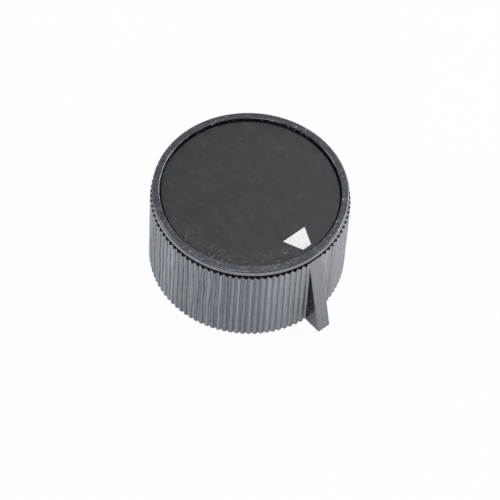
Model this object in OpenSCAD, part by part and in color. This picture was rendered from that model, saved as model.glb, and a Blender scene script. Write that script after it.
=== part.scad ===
// Push-on thermostat knob: a fluted grip skirt with a pointer fin, a cap that
// snaps into it from above and carries the hub, a face disc set into the cap,
// a white mark let into the disc, and a steel spring round the slit hub.
// Millimetres. +Z runs along the shaft, away from the panel. The origin is the
// centre of the shaft bore's mouth, in the plane of the skirt's foot.
// The pointer fin points to -Y.

/* [Overall] */
// Height of the knob from the panel to the top of the rim
knob_h = 24; // [21:0.5:34]
// Radius of the smooth rim
rim_r = 22; // [19:0.5:28]

/* [Rim and groove] */
// Width of the rim's top face, edges included
rim_w = 1.65; // [1.3:0.05:2.4]
// Height of the smooth band of the rim
rim_h = 1.5; // [1.2:0.1:2.4]
// Rounding of the rim's two top edges
rim_edge = 0.15; // [0.1:0.05:0.25]
// Width of the fine step round the rim's outer edge
rim_step_w = 0.15; // [0.1:0.05:0.3]
// Height of the fine step round the rim's outer edge
rim_step_h = 0.3; // [0.25:0.05:0.5]
// Rounding of the rim's lower outer edge
rim_under = 0.15; // [0.05:0.05:0.3]
// Height of the shadow groove between the rim and the skirt
groove_h = 0.8; // [0.5:0.1:1.4]
// Depth of the shadow groove
groove_d = 1.1; // [0.8:0.1:1.3]

/* [Face disc] */
// Depth of the disc's face below the rim
disc_recess = 0.8; // [0.4:0.05:1.2]
// Thickness of the disc
disc_t = 1; // [0.6:0.1:1.6]
// Ring gap between the disc and the rim
disc_gap = 0.45; // [0.3:0.05:0.9]
// Chamfer round the disc's face
disc_edge = 0.05; // [0.05:0.05:0.3]

/* [White mark] */
// Distance from the disc's edge to the mark's narrow end
mark_inset = 0.9; // [0.4:0.05:3]
// Length of the mark, outwards
mark_len = 4.4; // [2.5:0.1:8]
// Width of the mark's inner end
mark_base_w = 6.2; // [3:0.1:8]
// Width of the mark's outer end
mark_tip_w = 2.3; // [0.8:0.1:3]
// Depth of the pocket for the mark
mark_pocket = 0.3; // [0.2:0.05:0.45]
// How far the mark stands proud of the disc
mark_proud = 0.05; // [0.05:0.05:0.2]
// Gap round the mark in its pocket
mark_fit = 0.05; // [0.02:0.01:0.15]

/* [Grip skirt] */
// Spacing of the V-shaped flutes round the skirt's top
flute_pitch = 1.4; // [1.2:0.05:2.4]
// Depth of the flutes at the skirt's top
flute_top = 0.58; // [0.4:0.02:0.7]
// Depth of the flutes at the skirt's foot
flute_foot = 0.4; // [0.2:0.02:0.6]
// Width of the crest between two flutes at the skirt's top
crest_land = 0.1; // [0.04:0.02:0.3]
// How far the crests stand out past the rim at the skirt's top
crest_stand = 0.4; // [0.3:0.02:0.6]
// Growth of the crest radius from the skirt's top to its foot
skirt_draft = 0.08; // [0.04:0.02:0.2]
// Wall of the skirt behind the flutes
skirt_wall = 1.6; // [1.2:0.1:2.2]

/* [Pointer fin] */
// Thickness of the fin
fin_t = 3.4; // [2.4:0.1:5]
// How far the fin stands out past the crests at the skirt's foot
fin_reach = 4.4; // [2.5:0.1:7]
// How far the fin stands out past the flutes' valleys at the skirt's top
fin_top = 0.1; // [0.06:0.02:0.5]
// Rounding of the fin's two outer edges
fin_edge = 0.3; // [0.2:0.1:0.8]

/* [Cap] */
// Thickness of the cap's plate under the disc
plate_t = 2; // [1.4:0.1:2.4]
// Wall of the spigot that sits in the skirt
spigot_t = 1.5; // [1.2:0.1:2]
// Depth of the spigot below the skirt's top edge
spigot_drop = 2.3; // [1.9:0.1:3]
// Gap round the spigot in the skirt
spigot_fit = 0.1; // [0.05:0.05:0.2]
// Thickness of the ledge that the spigot sits on
ledge_t = 1.5; // [1.2:0.1:2]
// How far the ledge reaches in past the spigot
ledge_in = 0.5; // [0.3:0.1:0.8]
// Number of stiffening webs between the hub and the spigot
web_n = 6; // [6:6:6]
// Thickness of a web
web_t = 1.2; // [0.8:0.1:1.6]
// Depth of a web at the hub, below the plate
web_h = 7; // [4:0.5:9]

/* [Snap hooks and key] */
// Number of snap hooks under the ledge
hook_n = 3; // [2:1:3]
// Width of a hook
hook_w = 4; // [3:0.5:6]
// Thickness of a hook's stem
hook_t = 1.1; // [0.9:0.1:1.5]
// Gap between a stem and the ledge
hook_fit = 0.2; // [0.1:0.05:0.4]
// How far a hook's barb catches under the ledge
hook_catch = 0.5; // [0.3:0.1:0.7]
// Height of a hook's barb
hook_h = 1.1; // [0.8:0.1:1.6]
// Width of the key that turns the skirt with the cap
key_w = 3; // [2:0.5:5]
// Height of the key below the spigot
key_h = 0.9; // [0.6:0.1:1]
// Gap round the key in its notch
key_fit = 0.1; // [0.05:0.05:0.2]

/* [Hub and bore] */
// Diameter of the control's shaft
shaft_d = 6; // [5:0.5:8]
// Gap round the shaft in the D-shaped bore
shaft_fit = 0.05; // [0.03:0.01:0.1]
// Thickness of the shaft across its flat
shaft_across = 4.6; // [4.1:0.1:5]
// Gap round the shaft in the round lead-in
lead_fit = 0.3; // [0.2:0.05:0.4]
// Length of the round lead-in
lead_h = 6; // [4:0.5:7]
// Depth of the whole bore
bore_h = 15; // [12:0.5:16]
// Wall of the hub round the lead-in
hub_wall = 2.15; // [1.8:0.05:3]
// Width of the two slits that free the tongue
slit_w = 0.6; // [0.5:0.1:1]
// Distance of the slits' middle from the bore's axis
slit_x = 2.4; // [2:0.1:2.6]
// Height of the slits
slit_h = 11; // [9:0.5:12]

/* [Hub spring] */
// Thickness of the spring band
spring_t = 0.4; // [0.3:0.05:0.6]
// Width of the spring band
spring_w = 4; // [3:0.5:5]
// Opening of the spring band
spring_gap = 1.6; // [1:0.1:3]
// Height of the hub's lip under the band
lip_z = 1.6; // [1.2:0.1:2]
// How far the lip stands out past the band's inner face
lip_out = 0.3; // [0.2:0.05:0.4]
// Gap inside and above the band
spring_fit = 0.05; // [0.03:0.01:0.1]

/* [Hidden] */
black = [0.10, 0.10, 0.11];
soft_black = [0.13, 0.13, 0.14];
white = [0.95, 0.95, 0.94];
steel = [0.66, 0.66, 0.66];

// Facets of a drawn circle, and the overlap that cuts run past a face
round_fn = 360;
small_fn = 72;
over = 1;

// Heights
rim_z = knob_h - rim_h;
skirt_z = rim_z - groove_h;
disc_z = knob_h - disc_recess;
plate_z = disc_z - disc_t;
under_z = plate_z - plate_t;
ledge_z = skirt_z - spigot_drop;
ledge_under = ledge_z - ledge_t;
shoulder_z = lip_z + spring_w + spring_fit;

// Radii
rim_in_r = rim_r - rim_w;
rim_step_r = rim_r - rim_step_w;
disc_r = rim_in_r - disc_gap;
spigot_r = rim_r - groove_d;
spigot_in_r = spigot_r - spigot_t;
seat_r = spigot_r + spigot_fit;
ledge_r = spigot_in_r - ledge_in;
crest_top_r = rim_r + crest_stand;
crest_foot_r = crest_top_r + skirt_draft;
valley_r = crest_top_r - flute_top;
valley_foot_r = crest_foot_r - flute_foot;
skirt_in_r = valley_r - skirt_wall;
hook_r = ledge_r - hook_fit;
lead_r = shaft_d / 2 + lead_fit;
bore_r = shaft_d / 2 + shaft_fit;
flat_y = shaft_across - shaft_d / 2 + shaft_fit;
hub_r = lead_r + hub_wall;
band_r = hub_r + spring_fit;
root_r = band_r + spring_t + lip_out / 2;

// A flute is a V that leaves only a narrow land on each crest at the skirt's top
flute_n = 2 * round(PI * crest_top_r / flute_pitch);
flute_step = 360 / flute_n;
flute_half = crest_top_r * sin(flute_step / 2) - crest_land / 2;
flute_lean = atan((valley_foot_r - valley_r) / skirt_z);

// The fin leans from its foot to the skirt's top
fin_foot_r = crest_foot_r + fin_reach;
fin_top_r = valley_r + fin_top;
fin_lean = atan((fin_foot_r - fin_top_r) / skirt_z);
fin_root = fin_foot_r - valley_r + skirt_wall / 2;

// Points of an arc round a centre, from one angle to another
function arc(cx, cy, r, from, to, steps = 6) =
  [for (i = [0:steps]) let (a = from + (to - from) * i / steps) [cx + r * cos(a), cy + r * sin(a)]];

// ---- Grip skirt ----

// Cutter for one flute: a V drawn twice as deep as the flute, leaning with the valley
module flute() {
  translate([valley_foot_r, 0, 0]) rotate([0, -flute_lean, 0]) translate([0, 0, -over])
    linear_extrude(height = skirt_z + 2 * over)
      polygon([[0, 0], [2 * flute_top, -2 * flute_half], [2 * flute_top, 2 * flute_half]]);
}

// Outside of the skirt: a drum with a slight draft, fluted all round, with a crest behind the fin;
// no crest breaks through the fin's face
module drum() {
  difference() {
    cylinder(r1 = crest_foot_r, r2 = crest_top_r, h = skirt_z, $fn = round_fn);
    for (k = [0:flute_n - 1]) rotate(-90 + (k + 0.5) * flute_step) flute();
    fin_frame() translate([-fin_t / 2, -fin_reach]) square([fin_t, fin_reach]);
  }
}

// Extrudes a flat shape along the fin's face, which lies on the shape's X axis
module fin_frame() {
  translate([0, -fin_foot_r, 0]) rotate([-fin_lean, 0, 0]) translate([0, 0, -skirt_z / 2])
    linear_extrude(height = 2 * skirt_z) children();
}

// Bar with two rounded edges, leaning to the skirt's top
module fin() {
  half = fin_t / 2;
  intersection() {
    translate([-fin_t, -fin_foot_r - over, 0]) cube([2 * fin_t, fin_foot_r, skirt_z]);
    fin_frame() {
      translate([-half, fin_edge]) square([fin_t, fin_root + fin_reach]);
      translate([-half + fin_edge, 0]) square([fin_t - 2 * fin_edge, 2 * fin_edge]);
      for (side = [-1, 1])
        translate([side * (half - fin_edge), fin_edge]) circle(r = fin_edge, $fn = small_fn);
    }
  }
}

// Hollow of the skirt: seat for the spigot above the ledge, open cone below it
module skirt_hollow() {
  rotate_extrude($fn = round_fn)
    polygon([
      [0, -over],
      [skirt_in_r, -over],
      [skirt_in_r - skirt_draft, ledge_under],
      [ledge_r, ledge_under],
      [ledge_r, ledge_z],
      [seat_r, ledge_z],
      [seat_r, skirt_z + over],
      [0, skirt_z + over]
    ]);
}

module skirt() {
  color(black) difference() {
    union() {
      drum();
      fin();
    }
    skirt_hollow();
    // Notch for the key
    translate([-key_w / 2 - key_fit, 0, ledge_z - key_h - key_fit])
      cube([key_w + 2 * key_fit, seat_r, ledge_t]);
  }
}

// ---- Cap ----

// Half section of the rim, plate and spigot
module cap_section() {
  polygon(concat(
    [[0, under_z], [0, plate_z], [rim_in_r, plate_z]],
    arc(rim_in_r + rim_edge, knob_h - rim_edge, rim_edge, 180, 90),
    arc(rim_step_r - rim_edge, knob_h - rim_edge, rim_edge, 90, 0),
    [[rim_step_r, knob_h - rim_step_h], [rim_r, knob_h - rim_step_h]],
    arc(rim_r - rim_under, rim_z + rim_under, rim_under, 0, -90, 4),
    [[spigot_r, rim_z], [spigot_r, ledge_z], [spigot_in_r, ledge_z], [spigot_in_r, under_z]]
  ));
}

// Tapered web from the hub to the spigot, drawn along +X
module web() {
  rotate([90, 0, 0]) translate([0, 0, -web_t / 2]) linear_extrude(height = web_t)
    polygon([
      [hub_r, under_z + plate_t / 2],
      [spigot_in_r + spigot_t / 2, under_z + plate_t / 2],
      [spigot_in_r + spigot_t / 2, ledge_z],
      [hook_r, ledge_z],
      [root_r, under_z - web_h],
      [hub_r, under_z - web_h]
    ]);
}

// Snap hook that hangs from the plate and catches under the ledge, drawn along +X
module hook() {
  rotate([90, 0, 0]) translate([0, 0, -hook_w / 2]) linear_extrude(height = hook_w)
    polygon([
      [hook_r - hook_t, under_z + plate_t / 2],
      [hook_r, under_z + plate_t / 2],
      [hook_r, ledge_under],
      [ledge_r + hook_catch, ledge_under],
      [hook_r, ledge_under - hook_h],
      [hook_r - hook_t, ledge_under - hook_h]
    ]);
}

// Key under the spigot, opposite the fin
module key() {
  intersection() {
    translate([-key_w / 2, 0, ledge_z - key_h]) cube([key_w, spigot_r + over, 2 * key_h]);
    difference() {
      cylinder(r = spigot_r, h = ledge_z + key_h / 2, $fn = round_fn);
      translate([0, 0, -over]) cylinder(r = spigot_in_r, h = knob_h, $fn = round_fn);
    }
  }
}

// Outside of the hub: foot with a lip for the spring, shoulder and root
module hub() {
  rotate_extrude($fn = round_fn)
    polygon([
      [0, 0],
      [hub_r, 0],
      [hub_r, lip_z / 3],
      [hub_r + lip_out, lip_z * 2 / 3],
      [hub_r + lip_out, lip_z],
      [hub_r, lip_z],
      [hub_r, shoulder_z],
      [root_r, shoulder_z],
      [root_r, under_z + plate_t / 2],
      [0, under_z + plate_t / 2]
    ]);
}

// Round lead-in, then a bore with one flat, opposite the fin
module shaft_bore() {
  translate([0, 0, -over]) cylinder(r = lead_r, h = lead_h + over, $fn = round_fn);
  intersection() {
    translate([0, 0, lead_h - over]) cylinder(r = bore_r, h = bore_h - lead_h + over, $fn = round_fn);
    translate([-shaft_d, flat_y - 2 * shaft_d, 0]) cube([2 * shaft_d, 2 * shaft_d, bore_h + over]);
  }
}

// Two slits beside the flat, which free the tongue that the spring presses in
module slits() {
  for (side = [-1, 1])
    translate([side * slit_x - slit_w / 2, flat_y / 2, -over]) cube([slit_w, 2 * root_r, slit_h + over]);
}

module cap() {
  color(black) difference() {
    union() {
      rotate_extrude($fn = round_fn) cap_section();
      hub();
      for (k = [0:web_n - 1]) rotate(k * 360 / web_n) web();
      for (k = [0:hook_n - 1]) rotate(-90 + k * 360 / hook_n) hook();
      key();
    }
    shaft_bore();
    slits();
  }
}

// ---- Face disc, mark and spring ----

// Plan of the mark, pointing to -Y, grown by a gap all round
module mark_plan(grow) {
  tip_y = -disc_r + mark_inset - grow;
  base_y = -disc_r + mark_inset + mark_len + grow;
  tip = mark_tip_w / 2 + grow;
  base = mark_base_w / 2 + grow;
  polygon([[-base, base_y], [-tip, tip_y], [tip, tip_y], [base, base_y]]);
}

module face_disc() {
  color(soft_black) difference() {
    rotate_extrude($fn = round_fn)
      polygon([
        [0, plate_z],
        [disc_r, plate_z],
        [disc_r, disc_z - disc_edge],
        [disc_r - disc_edge, disc_z],
        [0, disc_z]
      ]);
    translate([0, 0, disc_z - mark_pocket]) linear_extrude(height = mark_pocket + over) mark_plan(mark_fit);
  }
}

module white_mark() {
  color(white) translate([0, 0, disc_z - mark_pocket])
    linear_extrude(height = mark_pocket + mark_proud) mark_plan(0);
}

module hub_spring() {
  color(steel) translate([0, 0, lip_z]) difference() {
    cylinder(r = band_r + spring_t, h = spring_w, $fn = round_fn);
    translate([0, 0, -over]) cylinder(r = band_r, h = spring_w + 2 * over, $fn = round_fn);
    translate([-spring_gap / 2, -2 * band_r, -over]) cube([spring_gap, 2 * band_r, spring_w + 2 * over]);
  }
}

skirt();
cap();
face_disc();
white_mark();
hub_spring();
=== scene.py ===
import math

import bpy
from mathutils import Matrix, Quaternion, Vector


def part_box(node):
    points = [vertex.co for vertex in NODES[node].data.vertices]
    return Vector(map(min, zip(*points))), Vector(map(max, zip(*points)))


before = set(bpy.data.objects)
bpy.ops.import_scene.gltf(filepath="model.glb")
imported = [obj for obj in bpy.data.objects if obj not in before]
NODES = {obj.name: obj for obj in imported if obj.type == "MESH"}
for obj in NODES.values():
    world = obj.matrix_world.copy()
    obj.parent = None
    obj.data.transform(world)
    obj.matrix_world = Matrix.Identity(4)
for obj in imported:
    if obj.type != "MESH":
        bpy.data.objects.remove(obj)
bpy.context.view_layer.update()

MM = 0.001

# Sizes in millimetres, taken from the frame
KNOB_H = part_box("cap")[1].z / MM
RIM_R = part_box("cap")[1].x / MM
SKIRT_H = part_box("skirt")[1].z / MM
CREST_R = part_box("skirt")[1].x / MM
DISC_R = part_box("face_disc")[1].x / MM

# Sizes of the part that its boxes don't tell: the flutes round the skirt and the fin's thickness
FLUTES = 100
FIN_T = 3.4


# ---- Camera ----

FRAME_PX = 500
SENSOR_MM = 36.0
CLIP_NEAR_M = 0.01
CLIP_FAR_M = 20
CAMERA_ELEVATION = math.radians(53.9)
CAMERA_TURN = math.radians(-133.7)
CAMERA_ROLL = math.radians(3.79)
CAMERA_DISTANCE_IN_RIMS = 25
PX_PER_RIM_R = 99.01
RIM_CENTRE_PX = (250.86, 190.43)


def direction(turn, elevation):
    """Unit vector at an angle round the object, counted from the camera's side, and above the floor."""
    around = CAMERA_TURN + turn
    level = math.cos(elevation)
    return Vector((level * math.cos(around), level * math.sin(around), math.sin(elevation)))


def make_camera():
    """The photograph's pinhole camera: it looks at the rim's centre, rolls, then turns to frame it."""
    focal_px = PX_PER_RIM_R * CAMERA_DISTANCE_IN_RIMS
    data = bpy.data.cameras.new("camera")
    data.sensor_width = SENSOR_MM
    data.lens = focal_px / FRAME_PX * SENSOR_MM
    data.clip_start = CLIP_NEAR_M
    data.clip_end = CLIP_FAR_M
    camera = bpy.data.objects.new("camera", data)
    bpy.context.scene.collection.objects.link(camera)
    back = direction(0, CAMERA_ELEVATION)
    look = (-back).to_track_quat("-Z", "Y") @ Quaternion((0, 0, 1), CAMERA_ROLL)
    across = (RIM_CENTRE_PX[0] - FRAME_PX / 2) / focal_px
    down = (RIM_CENTRE_PX[1] - FRAME_PX / 2) / focal_px
    framing = Vector((0, 0, -1)).rotation_difference(Vector((across, -down, -1)))
    turn = look @ framing.inverted()
    place = Vector((0, 0, KNOB_H * MM)) + back * CAMERA_DISTANCE_IN_RIMS * RIM_R * MM
    camera.matrix_world = Matrix.Translation(place) @ turn.to_matrix().to_4x4()
    bpy.context.scene.camera = camera


# ---- Node graphs ----

class Graph:
    """Short calls for a node tree. A number or tuple is set on a socket, and an output is linked to it."""

    def __init__(self, tree):
        self.tree = tree
        tree.nodes.clear()

    def put(self, socket, value):
        if isinstance(value, bpy.types.NodeSocket):
            self.tree.links.new(value, socket)
        else:
            socket.default_value = value

    def add(self, kind, inputs=None, **settings):
        node = self.tree.nodes.new("ShaderNode" + kind)
        for name, value in settings.items():
            setattr(node, name, value)
        for name, value in (inputs or {}).items():
            self.put(node.inputs[name], value)
        return node

    def math(self, operation, *values):
        return self.add("Math", dict(enumerate(values)), operation=operation).outputs[0]

    def fold(self, operation, values):
        """One value from several, by an operation that takes two at a time."""
        result = values[0]
        for value in values[1:]:
            result = self.math(operation, result, value)
        return result

    def times(self, *values):
        return self.fold("MULTIPLY", values)

    def plus(self, *values):
        return self.fold("ADD", values)

    def most(self, *values):
        return self.fold("MAXIMUM", values)

    def minus(self, first, second):
        return self.math("SUBTRACT", first, second)

    def off(self, value, middle):
        """How far a value lies from a middle, on either side."""
        return self.math("ABSOLUTE", self.minus(value, middle))

    def fade(self, value, start, end, low=0.0, high=1.0):
        """low at start and high at end, with a smooth change between them."""
        inputs = {"Value": value, "From Min": start, "From Max": end, "To Min": low, "To Max": high}
        return self.add("MapRange", inputs, interpolation_type="SMOOTHSTEP").outputs[0]

    def noise(self, place, per_mm=1.0, detail=2.0):
        inputs = {"Vector": place, "Scale": per_mm, "Detail": detail}
        return self.add("TexNoise", inputs).outputs[0]

    def mix(self, factor, first, second):
        """The first colour at 0 and the second at 1. The sockets go by number, as their names repeat."""
        return self.add("Mix", {0: factor, 6: first, 7: second}, data_type="RGBA").outputs[2]

    def stretch(self, place, scale, angle=0.0):
        return self.add("Mapping", {"Vector": place, "Rotation": (0, 0, angle), "Scale": scale}).outputs[0]

    def bump(self, height, depth_mm):
        return self.add("Bump", {"Height": height, "Distance": depth_mm * MM}).outputs[0]


# The middle of the side with the most scuffs, a little left of the camera's side, and the share of
# their reach that they fill before they fade
WORN_TURN = CAMERA_TURN - 0.15
WORN_CORE = 0.4

# A scratch is where a noise comes this near to its middle, inside the patches of another noise
SCRATCH_HALF_WIDTH = 0.012
SCRATCH_PATCHES_PER_MM = 0.35
SCRATCH_PATCH_EDGES = (0.62, 0.70)

# The share of a speck's radius that is fully pale
SPECK_CORE = 0.4

AIR_SAMPLES = 8


class Surface(Graph):
    """A material's graph with places on the knob, in millimetres, and the marks that use leaves on it."""

    def __init__(self, name):
        self.material = bpy.data.materials.new(name)
        self.material.use_nodes = True
        super().__init__(self.material.node_tree)
        coordinates = self.add("TexCoord").outputs["Object"]
        scaled = self.add("VectorMath", {0: coordinates, "Scale": 1 / MM}, operation="SCALE")
        self.place = scaled.outputs[0]
        self.x, self.y, self.z = self.add("SeparateXYZ", {0: self.place}).outputs
        across = self.add("CombineXYZ", {0: self.x, 1: self.y}).outputs[0]
        self.radius = self.add("VectorMath", {0: across}, operation="LENGTH").outputs["Value"]
        self.angle = self.math("ARCTAN2", self.y, self.x)

    def specks(self, spacing, radius, share):
        """Small round dots, one in each of a share of the cells of a loose grid."""
        cells = self.add("TexVoronoi", {"Vector": self.place, "Scale": 1 / spacing})
        edge = radius / spacing
        dot = self.fade(cells.outputs["Distance"], edge, SPECK_CORE * edge)
        chance = self.add("SeparateColor", {0: cells.outputs["Color"]}).outputs[0]
        return self.times(dot, self.math("LESS_THAN", chance, share))

    def scratches(self, length, width, angle, amount):
        """Hairlines, in patches: where a noise that is stretched along one direction crosses its middle."""
        strands = self.noise(self.stretch(self.place, (1 / length, 1 / width, 1), angle), detail=0.0)
        line = self.fade(self.off(strands, 0.5), SCRATCH_HALF_WIDTH, 0.0)
        start, end = SCRATCH_PATCH_EDGES
        cloud = self.noise(self.place, SCRATCH_PATCHES_PER_MM, detail=1.0)
        return self.times(line, self.fade(cloud, start - amount, end - amount))

    def open_air(self, reach_mm, shut, clear):
        """0 in the piece's own grooves and corners and 1 in the open, to paint shade with."""
        reach = {"Distance": reach_mm * MM}
        openness = self.add("AmbientOcclusion", reach, only_local=True, samples=AIR_SAMPLES).outputs["AO"]
        return self.fade(openness, shut, clear)

    def worn_side(self, half_width):
        """1 in the middle of the scuffed side, and 0 from half_width radians away."""
        turned = self.minus(self.angle, WORN_TURN)
        away = self.math("ABSOLUTE", self.math("WRAP", turned, math.pi, -math.pi))
        return self.fade(away, half_width, WORN_CORE * half_width)

    def finish(self, node, **inputs):
        """Ends the graph in a shader, whose sockets the names give, and dresses a node in it."""
        out = self.add("OutputMaterial")
        shader = self.add("BsdfPrincipled", {key.replace("_", " "): value for key, value in inputs.items()})
        self.tree.links.new(shader.outputs[0], out.inputs[0])
        data = NODES[node].data
        data.materials.clear()
        data.materials.append(self.material)


# ---- Materials ----
# A fade's numbers are the value where it starts and ends, then what it gives at each of them.
# Shares of dust say how much of its colour covers the plastic.

# The first black is painted shade: the grip's colour where it is shut in, in valleys, corners and on its
# top face
SHADE_BLACK = (0.002, 0.0024, 0.004, 1)
BLACK = (0.008, 0.0088, 0.011, 1)
COOL = (0.70, 0.85, 1.0, 1)
DUST = (0.19, 0.22, 0.28, 1)
PALE_DUST = (0.42, 0.44, 0.47, 1)
DISC_BLACK = (0.026, 0.027, 0.032, 1)
DISC_BROWN = (0.030, 0.0275, 0.032, 1)
MARK_WHITE = (0.86, 0.86, 0.85, 1)
MARK_GREY = (0.74, 0.75, 0.75, 1)
STEEL = (0.58, 0.58, 0.57, 1)
STEEL_DARK = (0.36, 0.36, 0.36, 1)

PLASTIC_LEVEL = 0.5
COAT_ROUGHNESS = 0.2

# The coats stand in for a strong soft sheen, so their indices are higher than a plastic's
GRIP_COAT_INDEX = 3.5
RIM_COAT_INDEX = 2.1


# The fin points to -Y, a quarter turn before +X, and a crest lies behind it
CREST_TURN = -0.25

# Where the flutes are: on the skirt's outside, and clear of the fin's width on its side of the knob
FLUTED_RADIUS = (CREST_R - 1.2, CREST_R - 0.8)
BESIDE_FIN_X = (FIN_T * 0.5, FIN_T * 0.53)
BEHIND_FIN_Y = (-5, 5)

# Where the fin's side faces are, and the skirt below its top face. The top face and the fin's corners get
# painted shade
FIN_RADIUS = (CREST_R, CREST_R + 0.2)
FIN_SIDE_X = (FIN_T * 0.46, FIN_T * 0.5)
BELOW_TOP_Z = (SKIRT_H - 0.02, SKIRT_H - 0.1)

# Painted shade by openness to the air: the reach that counts, in millimetres, and the shares that are shut
# and clear
GRIP_PAINTED_SHADE = (5.0, 0.3, 0.6)
FIN_CORNER_PAINTED_SHADE = (8.0, 0.8, 0.98)

# Streaks run down the flutes. A place across a flute counts from 0 on a crest to 1 on the next one
STREAKS_PER_MM = 1.8
STREAK_STRETCH = (1, 1, 0.12)
WANDER_PER_MM = 0.6
WANDER_STRETCH = (1, 1, 0.2)
WANDER_REACH = 0.5
# A line of painted shade and a band of painted sheen lie at the same places across every flute
PAINTED_SHADE_LINE_AT = 0.27
PAINTED_SHADE_LINE_EDGES = (0.1, 0.04)
PAINTED_SHADE_LINE_DEPTH = (0.35, 0.6, 0.3, 0.9)
PAINTED_SHEEN_AT = 0.57
PAINTED_SHEEN_BAND = (0.26, 0.12, 0.0, 0.22)

# Dust on the grip
STREAK_FILM = (0.3, 0.75, 0.04, 0.2)
OWN_FILM = 0.08
VALLEY_FILM = (0.6, 0.1, 0.0, 0.16)
CREST_EDGES = (0.78, 0.95)
CREST_FILM = (0.4, 0.6, 0.0, 0.2)
GRIP_SPECKS = {"spacing": 0.9, "radius": 0.2, "share": 0.09}
GRIP_SPECK_STRENGTH = 0.75

# Sheen of the grip: its usual strength, then what changes it
GRIP_SHEEN = 0.74
CREST_DULLING = 0.1
OWN_SHEEN = (0.0, 1.0, -0.12, 0.12)
# Painted shade: the sheen weakens towards the foot
FOOT_PAINTED_SHADE = (0, SKIRT_H, 0.7, 1.0)
GRIP_ROUGHNESS = (0.3, 0.7, 0.20, 0.28)

# Relief of the grip in millimetres, where the streaks count more than the grain does. The fills round
# off the valleys and flatten the flanks
GRIP_RELIEF = 0.015
GRIP_GRAIN_PER_MM = 1.6
STREAKS_TO_GRAIN = 2.0
VALLEY_FILL = 0.05
VALLEY_EDGES = (0.4, 0.0)
VALLEY_ROUNDNESS = 1.5
FLANK_FILL = 0.40
GRIP_BUMP_MM = 1.0


class Grip(Surface):
    """The skirt's surface. Its position counts flutes, and to_crest is 0 in a valley and 1 on a crest."""

    def __init__(self):
        super().__init__("skirt_plastic")
        turns = self.minus(self.math("DIVIDE", self.angle, 2 * math.pi), CREST_TURN)
        self.position = self.times(turns, FLUTES)
        from_valley = self.off(self.math("FRACT", self.position), 0.5)
        self.to_crest = self.times(from_valley, 2)
        number = {"W": self.math("ROUND", self.position)}
        self.own_tone = self.add("TexWhiteNoise", number, noise_dimensions="1D").outputs["Value"]
        self.off_middle = self.math("ABSOLUTE", self.x)
        beside_fin = self.most(self.fade(self.off_middle, *BESIDE_FIN_X), self.fade(self.y, *BEHIND_FIN_Y))
        self.fluted = self.times(self.fade(self.radius, *FLUTED_RADIUS), beside_fin)
        self.crest = self.times(self.fade(self.to_crest, *CREST_EDGES), self.fluted)
        self.streaks = self.noise(self.stretch(self.place, STREAK_STRETCH), STREAKS_PER_MM)

    def unshaded_share(self):
        """Painted shade: 1 in the open, less in the valleys, and 0 on the skirt's top and in the fin's
        corners.
        """
        fin_side = self.times(self.fade(self.off_middle, *FIN_SIDE_X), self.fade(self.radius, *FIN_RADIUS))
        corner = self.times(fin_side, self.minus(1.0, self.open_air(*FIN_CORNER_PAINTED_SHADE)))
        below_top = self.fade(self.z, *BELOW_TOP_Z)
        return self.times(self.open_air(*GRIP_PAINTED_SHADE), self.minus(1.0, corner), below_top)

    def color(self, unshaded):
        """Black under a film of dust that settles in the valleys, with rubbed crests and pale specks, and
        painted shade in the valleys, corners and on the top.
        """
        streaky = self.fade(self.streaks, *STREAK_FILM)
        settled = self.times(self.fade(self.to_crest, *VALLEY_FILM), self.fluted)
        film = self.plus(streaky, self.times(self.own_tone, OWN_FILM), settled)
        # Painted shade: a deeper black where the grip is shut in
        color = self.mix(unshaded, SHADE_BLACK, BLACK)
        color = self.mix(self.times(film, unshaded), color, DUST)
        color = self.mix(self.times(self.crest, self.fade(self.streaks, *CREST_FILM)), color, DUST)
        return self.mix(self.times(self.specks(**GRIP_SPECKS), GRIP_SPECK_STRENGTH), color, PALE_DUST)

    def sheen(self, unshaded):
        """Each flute's own sheen, with a band of painted sheen and a line of painted shade that wander a
        little down it, and painted shade in corners and towards the foot.
        """
        drift = self.minus(self.noise(self.stretch(self.place, WANDER_STRETCH), WANDER_PER_MM), 0.5)
        across = self.math("FRACT", self.plus(self.position, self.times(drift, WANDER_REACH)))
        # A band of painted sheen and a line of painted shade down each flute
        painted_sheen = self.fade(self.off(across, PAINTED_SHEEN_AT), *PAINTED_SHEEN_BAND)
        line = self.fade(self.off(across, PAINTED_SHADE_LINE_AT), *PAINTED_SHADE_LINE_EDGES)
        painted_shade_line = self.times(line, self.fade(self.streaks, *PAINTED_SHADE_LINE_DEPTH))
        uneven = self.plus(self.fade(self.own_tone, *OWN_SHEEN), self.minus(painted_sheen, painted_shade_line))
        even = self.minus(GRIP_SHEEN, self.times(self.crest, CREST_DULLING))
        tone = self.plus(self.times(uneven, self.fluted), even)
        # Painted shade in the corners and towards the foot
        return self.times(unshaded, self.fade(self.z, *FOOT_PAINTED_SHADE), tone)

    def height(self):
        """Fine grain and streaks, and fills that make the flutes shade as worn and rounded ones."""
        valley = self.math("POWER", self.fade(self.to_crest, *VALLEY_EDGES), VALLEY_ROUNDNESS)
        flank = self.minus(1.0, self.to_crest)
        fill = self.plus(self.times(valley, VALLEY_FILL), self.times(flank, FLANK_FILL))
        grain = self.noise(self.place, GRIP_GRAIN_PER_MM)
        relief = self.plus(grain, self.times(self.streaks, STREAKS_TO_GRAIN))
        return self.plus(self.times(relief, GRIP_RELIEF), self.times(fill, self.fluted))


def skirt_plastic():
    """Satin black grip: no two flutes alike, rubbed crests, painted shade and sheen, a film and specks of
    dust.
    """
    grip = Grip()
    unshaded = grip.unshaded_share()
    roughness = grip.fade(grip.streaks, *GRIP_ROUGHNESS)
    relief = grip.bump(grip.height(), GRIP_BUMP_MM)
    grip.finish("skirt", Base_Color=grip.color(unshaded), Roughness=roughness, Specular_IOR_Level=PLASTIC_LEVEL,
                Specular_Tint=COOL, Coat_Weight=grip.sheen(unshaded), Coat_Roughness=COAT_ROUGHNESS,
                Coat_IOR=GRIP_COAT_INDEX, Normal=relief)


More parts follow.
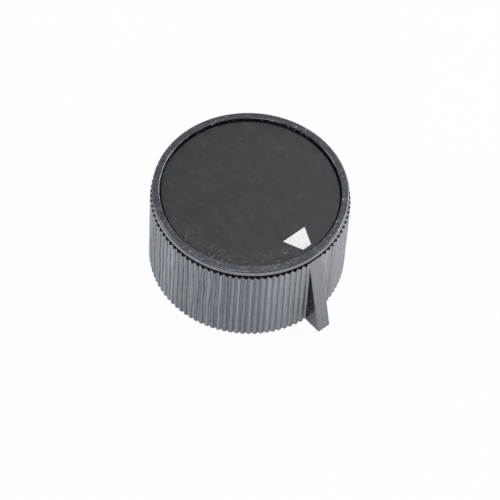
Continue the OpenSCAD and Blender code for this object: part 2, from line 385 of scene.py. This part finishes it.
# Rim: where its top face and its outside lie, its openness for the painted shade in its gaps, and its
# scuffs' reach in radians
RIM_TOP_Z = (KNOB_H - 0.25, KNOB_H - 0.1)
RIM_OUTSIDE_RADIUS = (DISC_R + 0.7, DISC_R + 0.9)
RIM_PAINTED_SHADE = (2.0, 0.3, 0.6)
RIM_WORN_HALF = 1.3

# Turned lines follow the rim, close together across it and long round it
RING_ANGLE_SCALE = 0.8
RING_STRETCH = (6, 1, 1)

RIM_CLOUD_PER_MM = 0.5
RIM_FILM = (0.35, 0.7, 0.0, 0.08)
RIM_WORN_FILM = 0.06
RIM_GRAIN_PER_MM = 2.6
RIM_GRAIN = (0.45, 0.7, 0.0, 0.22)
RIM_FINE_SPECKS = {"spacing": 0.5, "radius": 0.18, "share": 0.2}
RIM_COARSE_SPECKS = {"spacing": 1.3, "radius": 0.3, "share": 0.15}
RIM_SPECK_PATCHES = (0.35, 0.5)
RIM_SCRATCHES = {"length": 3, "width": 0.3, "angle": 0.5, "amount": 0.2}
RIM_CROSS_SCRATCHES = {"length": 4, "width": 0.3, "angle": 1.9, "amount": 0.15}
RIM_MARK_STRENGTH = 0.8
RIM_MARK_HEIGHT = 0.3
RIM_ROUGHNESS = (0.3, 0.7, 0.24, 0.36)
RIM_BUMP_MM = 0.008


def cap_plastic():
    """Black rim with fine turned lines, dust that gathers on it, scuffs on its worn side, and painted shade
    in its gaps.
    """
    rim = Surface("cap_plastic")
    rings = rim.add("CombineXYZ", {0: rim.radius, 1: rim.times(rim.angle, RING_ANGLE_SCALE)}).outputs[0]
    lines = rim.noise(rim.stretch(rings, RING_STRETCH))
    on_top = rim.fade(rim.z, *RIM_TOP_Z)
    worn = rim.worn_side(RIM_WORN_HALF)
    cloud = rim.noise(rim.place, RIM_CLOUD_PER_MM, detail=3.0)
    # Painted shade: less dust and sheen where the rim is shut in
    unshaded = rim.open_air(*RIM_PAINTED_SHADE)
    outside = rim.most(on_top, rim.fade(rim.radius, *RIM_OUTSIDE_RADIUS))
    film = rim.plus(rim.fade(cloud, *RIM_FILM), rim.times(worn, RIM_WORN_FILM))
    color = rim.mix(rim.times(film, unshaded), BLACK, DUST)
    grain = rim.fade(rim.noise(rim.place, RIM_GRAIN_PER_MM, detail=1.0), *RIM_GRAIN)
    color = rim.mix(rim.times(grain, on_top), color, DUST)
    specks = rim.most(rim.specks(**RIM_FINE_SPECKS), rim.specks(**RIM_COARSE_SPECKS))
    scuffs = rim.most(rim.scratches(**RIM_SCRATCHES), rim.scratches(**RIM_CROSS_SCRATCHES))
    marks = rim.most(rim.times(specks, rim.fade(cloud, *RIM_SPECK_PATCHES)), rim.times(scuffs, worn))
    color = rim.mix(rim.times(marks, RIM_MARK_STRENGTH), color, PALE_DUST)
    height = rim.plus(rim.times(lines, on_top), rim.times(marks, RIM_MARK_HEIGHT))
    roughness = rim.fade(cloud, *RIM_ROUGHNESS)
    relief = rim.bump(height, RIM_BUMP_MM)
    rim.finish("cap", Base_Color=color, Roughness=roughness, Specular_IOR_Level=PLASTIC_LEVEL,
               Specular_Tint=COOL, Coat_Weight=rim.times(unshaded, outside), Coat_Roughness=COAT_ROUGHNESS,
               Coat_IOR=RIM_COAT_INDEX, Normal=relief)


# Disc: where its scuffs lie towards the rim, and how far they reach round it, in radians
DISC_SCUFF_RADIUS = (DISC_R - 5, DISC_R - 1)
DISC_WORN_HALF = 1.2

DISC_CLOUD_PER_MM = 0.16
DISC_BROWN_PATCHES = (0.4, 0.6)
SMUDGES_PER_MM = 0.7
SMUDGE_STRETCH = (1, 0.4, 1)
SMUDGE_ANGLE = 0.6
SMUDGE_FILM = (0.55, 0.8, 0.0, 0.05)
DISC_SPECKS = {"spacing": 2.4, "radius": 0.28, "share": 0.1}
DISC_WORN_SPECKS = {"spacing": 0.7, "radius": 0.18, "share": 0.15}
DISC_HAIRS = {"length": 5, "width": 0.4, "angle": 0.9, "amount": 0.02}
DISC_CROSS_HAIRS = {"length": 4, "width": 0.3, "angle": 2.6, "amount": 0.0}
DISC_HAIR_STRENGTH = 0.15
DISC_SCUFFS = {"length": 2.0, "width": 0.3, "angle": 0.4, "amount": 0.3}
DISC_MARK_STRENGTH = 0.85
DISC_MARK_HEIGHT = 0.5
DISC_GRAIN_PER_MM = 3.0
DISC_ROUGHNESS = (0.35, 0.7, 0.40, 0.5)
DISC_BUMP_MM = 0.004


def disc_plastic():
    """Smooth dark face: faint smudges of two tones, a few specks and hairlines, scuffs near the rim."""
    disc = Surface("disc_plastic")
    cloud = disc.noise(disc.place, DISC_CLOUD_PER_MM, detail=3.0)
    smear = disc.stretch(disc.place, SMUDGE_STRETCH, SMUDGE_ANGLE)
    smudge = disc.noise(smear, SMUDGES_PER_MM, detail=3.0)
    worn = disc.times(disc.worn_side(DISC_WORN_HALF), disc.fade(disc.radius, *DISC_SCUFF_RADIUS))
    color = disc.mix(disc.fade(cloud, *DISC_BROWN_PATCHES), DISC_BLACK, DISC_BROWN)
    color = disc.mix(disc.fade(smudge, *SMUDGE_FILM), color, DUST)
    specks = disc.most(disc.specks(**DISC_SPECKS), disc.times(disc.specks(**DISC_WORN_SPECKS), worn))
    hairs = disc.most(disc.scratches(**DISC_HAIRS), disc.scratches(**DISC_CROSS_HAIRS))
    scuffs = disc.times(disc.scratches(**DISC_SCUFFS), worn)
    marks = disc.most(specks, disc.times(hairs, DISC_HAIR_STRENGTH), scuffs)
    color = disc.mix(disc.times(marks, DISC_MARK_STRENGTH), color, PALE_DUST)
    height = disc.plus(disc.noise(disc.place, DISC_GRAIN_PER_MM), disc.times(marks, DISC_MARK_HEIGHT))
    roughness = disc.fade(smudge, *DISC_ROUGHNESS)
    relief = disc.bump(height, DISC_BUMP_MM)
    disc.finish("face_disc", Base_Color=color, Roughness=roughness, Specular_IOR_Level=PLASTIC_LEVEL,
                Normal=relief)


MARK_CLOUD_PER_MM = 1.2
MARK_GREY_PATCHES = (0.5, 0.8, 0.0, 0.5)
MARK_SPECKS = {"spacing": 0.8, "radius": 0.12, "share": 0.1}
MARK_SPECK_STRENGTH = 0.25
MARK_LEVEL = 0.4
MARK_ROUGHNESS = (0.3, 0.7, 0.40, 0.55)
MARK_GRAIN_PER_MM = 4.0
MARK_BUMP_MM = 0.004


def mark_paint():
    """Slightly off-white inlay, greyer in faint patches."""
    mark = Surface("mark_paint")
    cloud = mark.noise(mark.place, MARK_CLOUD_PER_MM, detail=3.0)
    color = mark.mix(mark.fade(cloud, *MARK_GREY_PATCHES), MARK_WHITE, MARK_GREY)
    color = mark.mix(mark.times(mark.specks(**MARK_SPECKS), MARK_SPECK_STRENGTH), color, BLACK)
    roughness = mark.fade(cloud, *MARK_ROUGHNESS)
    relief = mark.bump(mark.noise(mark.place, MARK_GRAIN_PER_MM), MARK_BUMP_MM)
    mark.finish("white_mark", Base_Color=color, Roughness=roughness, Specular_IOR_Level=MARK_LEVEL,
                Normal=relief)


STEEL_STRETCH = (0.3, 0.3, 9)
STEEL_PATCHES = (0.35, 0.7)
STEEL_ROUGHNESS = (0.3, 0.7, 0.26, 0.42)
STEEL_BUMP_MM = 0.006


def spring_steel():
    """Rolled steel band with fine lines along its length."""
    steel = Surface("spring_steel")
    grain = steel.noise(steel.stretch(steel.place, STEEL_STRETCH), detail=3.0)
    color = steel.mix(steel.fade(grain, *STEEL_PATCHES), STEEL, STEEL_DARK)
    roughness = steel.fade(grain, *STEEL_ROUGHNESS)
    relief = steel.bump(grain, STEEL_BUMP_MM)
    steel.finish("hub_spring", Base_Color=color, Metallic=1.0, Roughness=roughness, Normal=relief)


# ---- Stage ----

WHITE = (1, 1, 1, 1)
FLOOR_SIZE_M = 4
FLOOR_WHITE = (0.9, 0.9, 0.9, 1)
FLOOR_DROP_MM = 0.02
FLOOR_SEEN_WHITE = 0.96
FLOOR_IN_GLOSS_WHITE = 0.7
FLOOR_IN_GLOSS_TINT = (0.93, 0.965, 1.0, 1)

# The room: its tint, its strength overhead, by its walls and as the camera sees it, and how far up a
# direction points to meet the overhead or the walls
SKY_TINT = (0.95, 0.97, 1.0, 1)
SKY_HIGH = 0.30
SKY_LOW = 0.9
SKY_SEEN = 1.0
OVERHEAD_UP = 0.75
WALLS_UP = 0.1


def make_floor():
    """Floor just under the knob: white to the camera with a faint shadow, and clear from below."""
    bpy.ops.mesh.primitive_plane_add(size=FLOOR_SIZE_M, location=(0, 0, -FLOOR_DROP_MM * MM))
    floor = bpy.context.object
    floor.name = "floor"
    material = bpy.data.materials.new("floor_white")
    material.use_nodes = True
    graph = Graph(material.node_tree)
    out = graph.add("OutputMaterial")
    path = graph.add("LightPath").outputs
    seen = graph.times(path["Is Camera Ray"], FLOOR_SEEN_WHITE)
    share = graph.plus(graph.times(path["Is Glossy Ray"], FLOOR_IN_GLOSS_WHITE), seen)
    plain = graph.add("BsdfDiffuse", {"Color": FLOOR_WHITE}).outputs[0]
    shade = graph.mix(path["Is Camera Ray"], FLOOR_IN_GLOSS_TINT, WHITE)
    white = graph.add("Emission", {"Color": shade}).outputs[0]
    top = graph.add("MixShader", {0: share, 1: plain, 2: white}).outputs[0]
    under = graph.times(graph.add("NewGeometry").outputs["Backfacing"], path["Is Camera Ray"])
    clear = graph.add("BsdfTransparent").outputs[0]
    graph.put(out.inputs[0], graph.add("MixShader", {0: under, 1: top, 2: clear}).outputs[0])
    floor.data.materials.append(material)


def make_world():
    """Pale room, dim overhead and brighter towards its white walls. The camera sees it white."""
    world = bpy.data.worlds.new("world")
    bpy.context.scene.world = world
    world.use_nodes = True
    graph = Graph(world.node_tree)
    out = graph.add("OutputWorld")
    up = graph.add("SeparateXYZ", {0: graph.add("TexCoord").outputs["Generated"]}).outputs["Z"]
    room = graph.fade(up, OVERHEAD_UP, WALLS_UP, SKY_HIGH, SKY_LOW)
    seen = graph.add("LightPath").outputs["Is Camera Ray"]
    strength = graph.fade(seen, 0, 1, room, SKY_SEEN)
    sky = graph.add("Background", {"Color": SKY_TINT, "Strength": strength}).outputs[0]
    graph.put(out.inputs[0], sky)


def make_lamp(name, turn, elevation, distance, size, power):
    """Round lamp that faces the knob. Angles are in degrees, and its turn counts from the camera's side."""
    data = bpy.data.lights.new(name, "AREA")
    data.shape = "DISK"
    data.size = size
    data.energy = power
    lamp = bpy.data.objects.new(name, data)
    aim = direction(math.radians(turn), math.radians(elevation))
    lamp.location = aim * distance
    lamp.rotation_euler = aim.to_track_quat("Z", "Y").to_euler()
    bpy.context.scene.collection.objects.link(lamp)


def make_lamps():
    """A key lamp behind on the right, and three low ones that light the grip and the rim's edge."""
    make_lamp("key", turn=135, elevation=45, distance=1.2, size=0.6, power=8.5)
    make_lamp("low_left", turn=-90, elevation=18, distance=1.0, size=0.5, power=3.5)
    make_lamp("low_right", turn=82, elevation=22, distance=1.0, size=0.6, power=1)
    make_lamp("low_front", turn=-10, elevation=12, distance=1.0, size=0.6, power=4)


make_camera()
make_floor()
make_world()
make_lamps()
skirt_plastic()
cap_plastic()
disc_plastic()
mark_paint()
spring_steel()
bpy.context.scene.view_settings.view_transform = "Standard"
